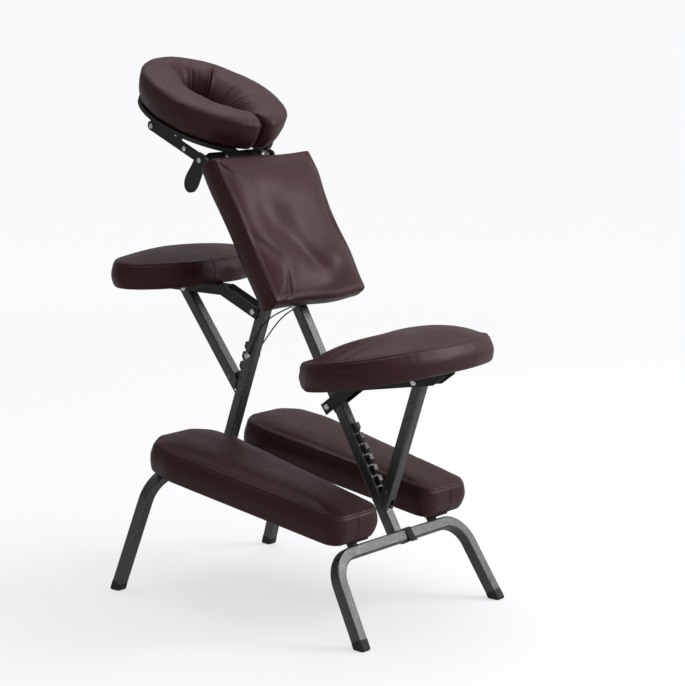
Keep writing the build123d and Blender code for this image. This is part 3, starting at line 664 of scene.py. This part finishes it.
def oval(half_x, half_y, power, notch, notch_half, side):
    """Rounded outline with a shallow notch in the middle of its +y (side 1) or -y (side -1) edge."""
    pts = []
    for i in range(1440):
        a = 2 * math.pi * i / 1440
        c, s = math.cos(a), math.sin(a)
        x = math.copysign(abs(c) ** (2 / power), c) * half_x
        y = math.copysign(abs(s) ** (2 / power), s) * half_y
        if s * side > 0:
            y -= side * notch * math.exp(-((x / notch_half) ** 2))
        pts.append((x, y))
    return even_loop(np.array(pts), OUTLINE_STEP)


def edge_length_at(loop, x, y):
    """Arc length of the loop point nearest to (x, y)."""
    loop = anticlockwise(loop)
    run, _ = loop_lengths(loop)
    return float(run[int(np.argmin((loop[:, 0] - x) ** 2 + (loop[:, 1] - y) ** 2))])


def upholster(pad, mats, shape, body, wall_seam=None, hem=0.012, top_rings=26):
    """Cover, stitching and underside of one pad, in place of its CAD cushion and board."""
    stem = pad.name.removesuffix("_cover")
    cover = pad.build(mats["leather"], shape, top_rings)
    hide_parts(f"{stem}_cushion")
    others = [pad.seam_stitches(mats["thread"])]
    if wall_seam:
        others.append(pad.wall_stitches(mats["thread"], *wall_seam))
    cloth = underside(f"{stem}_underside", pad.local, pad.loop, hem, mats["dust_cover"])
    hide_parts(f"{stem}_board")
    for o in [cover, *others, cloth]:
        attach(o, body)


def make_seat(mats):
    loc = Local(["seat_cushion", "seat_board"], SEAT_TILT)
    hx, hy = loc.half_x, loc.half_y
    outline = oval(hx, hy, 2.1, 0.015, 0.075, 1)
    outline[:, 1] += 0.004
    back = edge_length_at(outline, 0.05, -hy)
    loop = even_loop(anticlockwise(outline), COVER_STEP, [back])
    wall = loc.height - 0.013
    pad = Pad("seat_cover", loc, loop, wall, 0.042, 0.0045, [(back, 0.0009)], power=3.1)

    def shape(x, y, z, s, kind):
        out = up = 0.0
        near_left = bump_at(x, y, -hx, 0.02, 0.10, 0.16)
        if kind in ("wall", "lip"):
            rise = z / wall
            out += pucker(s, 0.0013, 0.011, 2.0) * math.exp(-(((rise - 0.92) / 0.25) ** 2))
            out += 0.0012 * noise_at(s * 24, z * 40, 5.0) * (0.5 + near_left)
            out += 0.0016 * math.sin(math.pi * min(1, rise)) * noise_at(s * 9, z * 10, 7.7)
            out -= 0.0022 * near_left * max(0, noise_at(s * 11, z * 75, 8.2)) * 2
        if kind == "lip":
            up += pucker(s, 0.0012, 0.010, 2.0)
        if kind == "top":
            edge = 1 - min(1.0, (abs(x / hx) ** 2.1 + abs(y / hy) ** 2.1))
            rim = math.exp(-((edge / 0.16) ** 2))
            up += pucker(s, 0.0020, 0.013, 2.0) * rim
            up += 0.0016 * noise_at(x * 11, y * 11, 0.4)
            up -= 0.034 * bump_at(x, y, -0.05, hy, 0.105, 0.105)
            up -= 0.0016 * crease_at(x, y, -hx * 0.93, -0.03, -hx * 0.55, -0.06, 0.005)
            up -= 0.0013 * crease_at(x, y, -hx * 0.92, 0.00, -hx * 0.62, -0.02, 0.004)
        return out, up

    upholster(pad, mats, shape, "seat", (back, "_back_stitching"))


def make_armrest(mats):
    loc = Local(["armrest_cushion", "armrest_board"], ARMREST_TILT)
    hx, hy = loc.half_x - 0.002, loc.half_y - 0.003
    outline = oval(hx, hy, 1.8, 0.012, 0.040, -1)
    spots = [edge_length_at(outline, x, -hy * 0.9) for x in (-0.018, -0.010)]
    loop = even_loop(anticlockwise(outline), COVER_STEP, spots)
    wall = loc.height - 0.008
    pad = Pad("armrest_cover", loc, loop, wall, 0.024, 0.004, [(s, 0.0014) for s in spots[:1]], power=2.4)

    def shape(x, y, z, s, kind):
        out = up = 0.0
        notch = bump_at(x, y, 0.0, -hy, 0.09, 0.09)
        if kind in ("wall", "lip"):
            rise = z / wall
            out += pucker(s, 0.0016, 0.010, 4.0) * math.exp(-(((rise - 0.9) / 0.35) ** 2))
            out += 0.0014 * math.sin(math.pi * min(1, rise)) * noise_at(s * 10, z * 10, 3.7)
            out -= 0.0016 * notch * max(0.0, noise_at(s * 18, z * 45, 2.2)) * 2
        if kind == "lip":
            up += pucker(s, 0.0010, 0.010, 4.0)
        if kind == "top":
            edge = 1 - min(1.0, abs(x / hx) ** 1.9 + abs(y / hy) ** 1.9)
            rim = math.exp(-((edge / 0.18) ** 2))
            up += pucker(s, 0.0026, 0.012, 4.0) * rim
            up += 0.0014 * noise_at(x * 12, y * 12, 2.4)
            up -= 0.0060 * notch
            up -= 0.0022 * notch * max(0.0, noise_at(s * 50, y * 4, 6.1)) * 2
        return out, up

    upholster(pad, mats, shape, "armrest", (spots[0], "_rear_stitching"))


def make_kneeler(side, mats):
    sign = 1 if side == "right" else -1
    body = f"kneeler_{side}"
    loc = Local([f"{body}_cushion", f"{body}_board"], KNEELER_TILT)
    hx, hy = loc.half_x, loc.half_y
    outer, inner = sign * hx, -sign * hx
    pts = [(inner + sign * 0.036, -hy), (outer - sign * 0.036, -hy), (outer - sign * 0.001, hy - 0.095),
           (outer - sign * 0.016, hy - 0.028), (outer - sign * 0.060, hy), (inner + sign * 0.052, hy),
           (inner + sign * 0.010, hy - 0.030), (inner, hy - 0.095)]
    radii = [0.034, 0.034, 0.12, 0.045, 0.05, 0.05, 0.045, 0.12]
    outline = rounded_polygon(pts, radii, OUTLINE_STEP)
    end = edge_length_at(outline, sign * 0.004, -hy)
    loop = even_loop(anticlockwise(outline), COVER_STEP, [end])
    wall = loc.height - 0.009
    pad = Pad(f"{body}_cover", loc, loop, wall, 0.021, 0.0035, [(end, 0.0016)], power=4.2)
    seed = 11.0 if side == "right" else 17.0

    def shape(x, y, z, s, kind):
        out = up = 0.0
        if kind in ("wall", "lip"):
            rise = z / wall
            out += pucker(s, 0.0012, 0.012, seed) * math.exp(-(((rise - 0.92) / 0.3) ** 2))
            out += 0.0016 * math.sin(math.pi * min(1, rise)) * noise_at(s * 8, z * 12, seed)
            rear = math.exp(-(((y + hy) / 0.03) ** 2))
            out += rear * 0.0025 * math.sin(math.pi * min(1, rise))
        if kind == "lip":
            up += pucker(s, 0.0009, 0.010, seed)
        if kind == "under":
            up -= 0.0009 * abs(noise_at(s * 130, 0.2, seed)) * 1.5
            up -= 0.0035 if min(hx - abs(x), hy - abs(y)) < 0.020 else 0.0
        if kind == "wall":
            up -= 0.0035 * max(0.0, 1 - z / (0.4 * wall))
        if kind == "top":
            near = min(hx - abs(x), hy - abs(y))
            rim = math.exp(-((near / 0.018) ** 2))
            up += pucker(s, 0.0018, 0.012, seed) * rim
            up += 0.0012 * noise_at(x * 14, y * 8, seed)
            up -= 0.0013 * crease_at(x, y, inner * 0.9, 0.02, outer * 0.2, 0.055, 0.006)
            up -= 0.0010 * crease_at(x, y, inner * 0.8, -0.05, outer * 0.3, -0.02, 0.007)
            up -= 0.0010 * crease_at(x, y, outer * 0.8, -0.14, inner * 0.1, -0.11, 0.006)
        return out, up

    upholster(pad, mats, shape, body, (end, "_end_stitching"), top_rings=22)


def make_chest_pad(mats):
    """Box pad with soft dents in its front panel, drawn-in edges and sharp sewn corners."""
    loc = Local(["chest_pad_cushion", "chest_pad_board"], 90 - REAR_LEAN)
    hx, hy = loc.half_x + 0.003, loc.half_y + 0.001
    low = hx * 0.972
    corners = [(-low, -hy - 0.004), (low, -hy - 0.004), (hx, hy), (-hx, hy)]
    outline = anticlockwise(rounded_polygon(corners, [0.006] * 4, 0.004))
    for p in outline:
        u, v = p[0] / hx, p[1] / hy
        side, end = min(1.0, abs(u)) ** 8, min(1.0, abs(v)) ** 8
        swell = 0.0075 * math.exp(-(((v - 0.72) / 0.25) ** 2))
        swell -= 0.0050 * math.exp(-(((v - 0.05) / 0.32) ** 2))
        swell += 0.0040 * math.exp(-(((v + 0.50) / 0.25) ** 2))
        p[0] += math.copysign(1, u) * swell * side * (1 - end) * (1.0 if u > 0 else 0.35)
        p[1] -= 0.0070 * end * (1 - side) * (1.0 if v < 0 else 0.35) * math.exp(-(((u - 0.4) / 0.5) ** 2))
    loop = even_loop(outline, 0.0030)
    wall = loc.height - 0.015
    pad = Pad("chest_pad_cover", loc, loop, wall, 0.019, 0.0030, (), power=5.0)
    # Hollows and mounds: centre, half widths, turn, depth or height
    hollows = [(-0.36 * hx, 0.08 * hy, 0.046, 0.062, 0.25, 0.0150),
               (0.02 * hx, -0.46 * hy, 0.024, 0.055, 0.5, 0.0080),
               (0.90 * hx, -0.02 * hy, 0.022, 0.060, 0.1, 0.0060)]
    mounds = [(0.46 * hx, -0.62 * hy, 0.050, 0.036, 0.3, 0.0110),
              (-0.55 * hx, -0.55 * hy, 0.030, 0.045, -0.4, 0.0050),
              (0.35 * hx, 0.45 * hy, 0.090, 0.070, 0.0, 0.0050)]
    # Creases: both ends, width, depth
    lines = [(-0.90 * hx, -0.10 * hy, -0.54 * hx, -0.55 * hy, 0.0110, 0.0030),
             (-0.60 * hx, -0.62 * hy, -0.66 * hx, -1.00 * hy, 0.0065, 0.0042),
             (-0.97 * hx, 0.97 * hy, -0.84 * hx, 0.78 * hy, 0.0050, 0.0024),
             (0.97 * hx, 0.97 * hy, 0.90 * hx, 0.80 * hy, 0.0070, 0.0014)]

    def shape(x, y, z, s, kind):
        out = up = 0.0
        if kind in ("wall", "lip"):
            rise = z / wall
            corner = (min(1.0, abs(x) / hx) * min(1.0, abs(y) / hy)) ** 10
            out += pucker(s, 0.0012, 0.012, 21.0) * math.exp(-(((rise - 0.95) / 0.3) ** 2))
            out += 0.0014 * math.sin(math.pi * min(1, rise)) * noise_at(s * 9, z * 10, 22.7)
            out -= 0.0055 * (1 - min(1.0, rise)) * (1 - corner)
            up += 0.0030 * corner * rise
        if kind == "lip":
            up += pucker(s, 0.0008, 0.011, 21.0)
        if kind == "top":
            near = min(hx - abs(x), hy - abs(y))
            full = min(1.0, max(0.0, near / 0.020))
            up += pucker(s, 0.0016, 0.012, 21.0) * math.exp(-((near / 0.015) ** 2))
            up += 0.0012 * noise_at(x * 11, y * 9, 23.0) * full
            for cx, cy, rx, ry, turn, depth in hollows:
                up -= depth * bump_at(x, y, cx, cy, rx, ry, turn) * full
            for cx, cy, rx, ry, turn, rise in mounds:
                up += rise * bump_at(x, y, cx, cy, rx, ry, turn) * full
            for x0, y0, x1, y1, width, depth in lines:
                up -= depth * crease_at(x, y, x0, y0, x1, y1, width)
        return out, up

    upholster(pad, mats, shape, "rear_frame", hem=0.014, top_rings=46)


# Section of the face pillow: (share of the way from the hole to the outside, share of the height)
PILLOW_FLOOR = [(0.16, 0.0), (0.34, 0.0), (0.52, 0.0), (0.70, 0.0), (0.81, 0.006), (0.862, 0.035),
                (0.886, 0.09)]
PILLOW_WALL = [(0.905, 0.17), (0.925, 0.28), (0.944, 0.40), (0.962, 0.52), (0.978, 0.64), (0.990, 0.73),
               (0.9975, 0.80)]
PILLOW_TOP = [(0.985, 0.846), (0.955, 0.888), (0.905, 0.930), (0.84, 0.963), (0.76, 0.987), (0.67, 0.998),
              (0.58, 0.995), (0.49, 0.977), (0.40, 0.940), (0.31, 0.880), (0.23, 0.800), (0.16, 0.700),
              (0.10, 0.575), (0.055, 0.440), (0.025, 0.310), (0.012, 0.200), (0.025, 0.095), (0.070, 0.030)]


# Folds that run into the hole: (angle round the ring in degrees, depth, spread in radians)
PILLOW_FOLDS = [(143, 0.0190, 0.048), (190, 0.0085, 0.040), (200, 0.0090, 0.035), (209, 0.0075, 0.035),
                (168, 0.0040, 0.05), (98, 0.0030, 0.07), (250, 0.0035, 0.06), (60, 0.0026, 0.07),
                (300, 0.0026, 0.06)]
CAP_BULGE = 0.0022


def dense_profile(points, steps):
    """Smooth curve through open profile points, steps to a span."""
    pts = [np.array(p) for p in points]
    pts = [2 * pts[0] - pts[1]] + pts + [2 * pts[-1] - pts[-2]]
    out = []
    for i in range(1, len(pts) - 2):
        p0, p1, p2, p3 = pts[i - 1:i + 3]
        for k in range(steps):
            t = k / steps
            out.append(0.5 * (2 * p1 + (p2 - p0) * t + (2 * p0 - 5 * p1 + 4 * p2 - p3) * t * t
                              + (3 * p1 - p0 - 3 * p2 + p3) * t ** 3))
    out.append(pts[-2])
    return out


def make_pillow(mats):
    """Horseshoe face pillow: tall flared wall, sewn top edge, top panel sloping into the hole."""
    loc = Local(["cradle_pillow"], CRADLE_TILT)
    hx, hy, height = loc.half_x + 0.003, loc.half_y + 0.002, loc.height + 0.005
    hole_x, hole_y = 0.034, 0.080
    wall_part = dense_profile(PILLOW_FLOOR + PILLOW_WALL, 2)
    top_part = dense_profile(PILLOW_TOP, 3)
    groove = [np.array((0.9965, 0.812)), np.array((0.9925, 0.820)), np.array((0.9935, 0.829))]
    profile = wall_part + groove + top_part
    section, seam_at = len(profile), len(wall_part) + 1
    gap, half_ring = math.radians(2.3), 0.120
    near = [0.0, 0.0008, 0.0022, 0.0045, 0.0075, 0.011, 0.015, 0.020]
    ends = [gap + e / half_ring for e in near]
    marks = ends + list(np.linspace(gap + 0.025 / half_ring, 2 * math.pi - gap - 0.025 / half_ring, 300))
    marks += [2 * math.pi - e for e in reversed(ends)]
    stations = len(marks) - 1
    folds = [(math.radians(angle), depth, spread) for angle, depth, spread in PILLOW_FOLDS]
    verts, faces = [], []
    for a in marks:
        dx, dy = math.sin(a), -math.cos(a)
        outer = 1 / math.hypot(dx / hx, dy / hy)
        inner = 1 / math.hypot(dx / hole_x, dy / hole_y)
        width = outer - inner
        end = min(a - gap, 2 * math.pi - gap - a) * half_ring
        corner = 0.017
        left = max(0.0, 1 - end / corner)
        inset = corner * (1 - math.sqrt(max(0.0, 1 - left * left))) + 0.0006
        for m, (share, level) in enumerate(profile):
            rho = inner + width * share
            z = level * height
            wall = 1.0 if m < seam_at else 0.0
            top = max(0.0, min(1.0, (level - 0.18) / 0.4)) * (1 - wall)
            inside = max(0.0, min(1.0, (0.80 - share) / 0.45)) * (1 - wall)
            for fa, depth, spread in folds:
                d = (a - fa + 0.10 * (share - 0.3)) / spread
                cut = depth * (math.exp(-(d * d) * 4.0) - 0.45 * math.exp(-(d * d) * 0.35))
                rho += cut * inside * 0.40
                z -= cut * 0.75 * inside * top
            rim = math.exp(-(((m - seam_at) / 5.0) ** 2))
            rho += 0.0010 * rim * noise_at(a * 30, 1.0, 2.0) + 0.0006 * rim * noise_at(a * 75, 4.0, 2.0)
            rho += 0.0042 * wall * math.sin(math.pi * min(1.0, level / 0.80))
            rho += 0.0016 * wall * noise_at(a * 4, level * 3, 3.0)
            z += 0.0022 * top * noise_at(a * 3.2, share * 5, 8.0)
            z += 0.0012 * inside * noise_at(a * 20, share * 3, 6.0)
            rho += inset * (1.0 if share < 0.42 else -1.0) * min(1.0, abs(share - 0.42) / 0.25)
            z -= 0.55 * inset * top
            verts.append(loc.world(dx * rho, dy * rho, max(0.0004, z)))
    for k in range(stations):
        faces += quads_between(k * section, (k + 1) * section, section)
    for k in (0, stations):
        ring = verts[k * section:(k + 1) * section]
        centre = sum(ring, Vector()) / section
        before = k * section
        for share in (0.93, 0.75, 0.5, 0.25):
            first = len(verts)
            bulge = loc.ex * (CAP_BULGE * (1 - share ** 2) * (-1 if k == 0 else 1))
            verts.extend(centre + (p - centre) * share + bulge for p in ring)
            faces += quads_between(before, first, section)
            before = first
        verts.append(centre + loc.ex * (-CAP_BULGE if k == 0 else CAP_BULGE))
        for m in range(section):
            faces.append((before + m, before + (m + 1) % section, len(verts) - 1))
    cover = smooth_object("cradle_pillow_cover", verts, faces, mats["leather"])
    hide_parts("cradle_pillow")
    m = seam_at + 5
    line, ups = [], []
    for k in range(6, stations - 5):
        line.append(verts[k * section + m])
        across = (verts[k * section + m + 1] - verts[k * section + m - 1]).normalized()
        along = (verts[(k + 1) * section + m] - verts[(k - 1) * section + m]).normalized()
        up = along.cross(across)
        ups.append(up if up.dot(loc.ez) > 0 else -up)
    thread = stitches("cradle_pillow_stitching", line, ups, STITCH_PITCH, STITCH_LENGTH, THREAD_THICK,
                      mats["thread"], closed=False)
    for o in (cover, thread):
        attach(o, "face_cradle")


# ---------------------------------------------------------------- strap and stay cables

def make_strap(mats):
    """Webbing band round the rear bar, with its loose tail hanging behind."""
    low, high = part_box("fold_strap")
    cx = (low.x + high.x) / 2
    cy, cz = (low.y + high.y) / 2, (low.z + high.z) / 2
    tilt = math.radians(REAR_LEAN)
    s, c = math.sin(tilt), math.cos(tilt)
    half, corner, thick = 0.0140, 0.004, 0.0016

    def spot(ahead, along):
        return cy + along * s + ahead * c, cz + along * c - ahead * s

    square = [(-half, -half), (half, -half), (half, half), (-half, half)]
    ring = rounded_polygon(square, [corner] * 4, 0.002)
    width = 0.0100
    verts, faces = [], []
    n = len(ring)
    for a, b in ring:
        r = math.hypot(a, b)
        for x in (-width, -width * 0.9, -width * 0.3, width * 0.3, width * 0.9, width):
            edge = 0.0003 if abs(x) > width * 0.8 else 0.0
            for out in (0.0, thick - 2 * edge):
                k = 1 + (out + edge) / r - 0.0008 / r
                y, z = spot(a * k, b * k)
                verts.append(Vector((cx + x, y, z)))
    per = 12
    for i in range(n):
        j = (i + 1) % n
        for q in range(5):
            for lay in (0, 1):
                p0, p1 = i * per + q * 2 + lay, i * per + (q + 1) * 2 + lay
                p2, p3 = j * per + (q + 1) * 2 + lay, j * per + q * 2 + lay
                faces.append((p0, p1, p2, p3))
        faces.append((i * per, i * per + 1, j * per + 1, j * per))
        faces.append((i * per + 10, i * per + 11, j * per + 11, j * per + 10))
    band = smooth_object("strap_band", verts, faces, mats["webbing"])
    tail_path = [(-0.0155, -0.006), (-0.0168, -0.011), (-0.0196, -0.0150), (-0.0235, -0.0175),
                 (-0.0275, -0.0185)]
    verts, faces = [], []
    for k, (a, b) in enumerate(tail_path):
        a2, b2 = tail_path[min(len(tail_path) - 1, k + 1)]
        a1, b1 = tail_path[max(0, k - 1)]
        d = Vector((a2 - a1, b2 - b1)).normalized()
        nrm = Vector((-d.y, d.x))
        for x in (-width, -width * 0.4, width * 0.4, width):
            for t in (-0.0007, 0.0007):
                y, z = spot(a + nrm.x * t, b + nrm.y * t)
                verts.append(Vector((cx + x - 0.002 * k, y, z)))
    for k in range(len(tail_path) - 1):
        f = k * 8
        for q in range(3):
            for lay in (0, 1):
                a = f + 2 * q + lay
                faces.append((a, a + 2, a + 10, a + 8))
        faces.append((f, f + 1, f + 9, f + 8))
        faces.append((f + 6, f + 7, f + 15, f + 14))
    faces.append((0, 1, 3, 5, 7, 6, 4, 2))
    e = (len(tail_path) - 1) * 8
    faces.append((e, e + 1, e + 3, e + 5, e + 7, e + 6, e + 4, e + 2))
    tail = smooth_object("strap_tail", verts, faces, mats["webbing"])
    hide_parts("fold_strap")
    for o in (band, tail):
        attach(o, "rear_frame")


# Stay cable: (y, z) of its route from the front post up to the main post, as in the CAD
CABLE_X = 0.0141
CABLE_RADIUS = 0.0015
CABLE_SPLAY = math.radians(30)
CABLE_ROUTE = [(0.1192, 0.5135), (0.1040, 0.5380), (0.0840, 0.5670), (0.0600, 0.5940), (0.0280, 0.6130),
               (-0.0058, 0.6270)]


def make_cable(side, mats):
    """Stay cable between the two posts, its bow turned outward about the line between its ends."""
    sign = 1 if side == "right" else -1
    data = bpy.data.curves.new("route_" + side, "CURVE")
    data.dimensions = "3D"
    data.resolution_u = 24
    spline = data.splines.new("NURBS")
    spline.points.add(len(CABLE_ROUTE) - 1)
    start, end = Vector((0, *CABLE_ROUTE[0])), Vector((0, *CABLE_ROUTE[-1]))
    splay = Matrix.Rotation(-CABLE_SPLAY, 3, end - start)
    for p, (y, z) in zip(spline.points, CABLE_ROUTE):
        spot = start + splay @ (Vector((0, y, z)) - start)
        p.co = (sign * (CABLE_X + spot.x), spot.y, spot.z, 1)
    spline.order_u = 3
    spline.use_endpoint_u = True
    curve = bpy.data.objects.new("route_" + side, data)
    SCENE.collection.objects.link(curve)
    line_mesh = bpy.data.meshes.new_from_object(curve)
    path = [v.co.copy() for v in line_mesh.vertices]
    bpy.data.objects.remove(curve)
    bpy.data.meshes.remove(line_mesh)
    cable = tube_along(f"stay_cable_{side}_strand", path, CABLE_RADIUS, mats["cable"])
    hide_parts(f"stay_cable_{side}")
    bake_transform(cable)


# ---------------------------------------------------------------- CAD nodes that stay visible

def dress(nodes, material, bevel=0.0):
    """Material and softened edges of CAD nodes."""
    for name in nodes:
        obj = NODES[name]
        obj.data.materials.clear()
        obj.data.materials.append(material)
        if bevel:
            m = obj.modifiers.new("edge", "BEVEL")
            m.width = bevel
            m.segments = 3
            m.limit_method = "ANGLE"
            m.angle_limit = math.radians(35)
            m.harden_normals = True


def main():
    mats = {
        "leather": leather("brown_leather", (0.038, 0.0122, 0.0124), (0.051, 0.0176, 0.0174)),
        "thread": woven("sewing_thread", (0.030, 0.020, 0.019), 1500.0, 0.7),
        "dust_cover": woven("dust_cover_cloth", (0.016, 0.015, 0.015), 700.0),
        "frame": hammertone("hammertone_enamel"),
        "bracket": black_enamel("black_enamel"),
        "bright": metal("bright_zinc", 0.86, 0.16),
        "rack": metal("rack_steel", 0.10, 0.38),
        "hook": metal("hook_steel", 0.30, 0.35),
        "plastic": black_enamel("black_plastic", 0.014, 0.42),
        "rubber": rubber("tip_rubber"),
        "webbing": woven("black_webbing", (0.010, 0.010, 0.011), 650.0),
        "cable": rubber("cable_sheath", 0.012),
    }
    make_camera()
    make_stage()
    make_cable("right", mats)
    make_cable("left", mats)
    dress(["rear_leg_frame", "front_leg_frame"], mats["frame"])
    dress(["main_post", "front_post", "seat_strut", "armrest_strut"], mats["frame"])
    dress(["frame_hinge_bracket", "seat_bracket", "armrest_bracket", "seat_hinge_lug", "armrest_hinge_lug",
           "cradle_head", "kneeler_right_hinge", "kneeler_left_hinge", "kneeler_hinge_lugs",
           "chest_pad_mount", "cradle_arm_right", "cradle_arm_left"], mats["bracket"], 0.0007)
    dress(["seat_rack", "armrest_rack"], mats["rack"], 0.0006)
    dress(["seat_strut_studs", "armrest_strut_studs"], mats["hook"], 0.0004)
    dress(["front_bar_sleeves", "cam_lever", "cradle_platform"], mats["plastic"], 0.0012)
    dress(["rear_foot_tips", "front_foot_tips"], mats["rubber"], 0.0015)
    fittings = ("_screws", "_eyes", "_pin", "cradle_rod", "cradle_nuts")
    bright = [n for n in NODES if "bolt" in n or n.endswith(fittings)]
    dress(bright, mats["bright"], 0.0005)
    make_seat(mats)
    make_armrest(mats)
    make_kneeler("right", mats)
    make_kneeler("left", mats)
    make_chest_pad(mats)
    make_pillow(mats)
    make_strap(mats)


main()
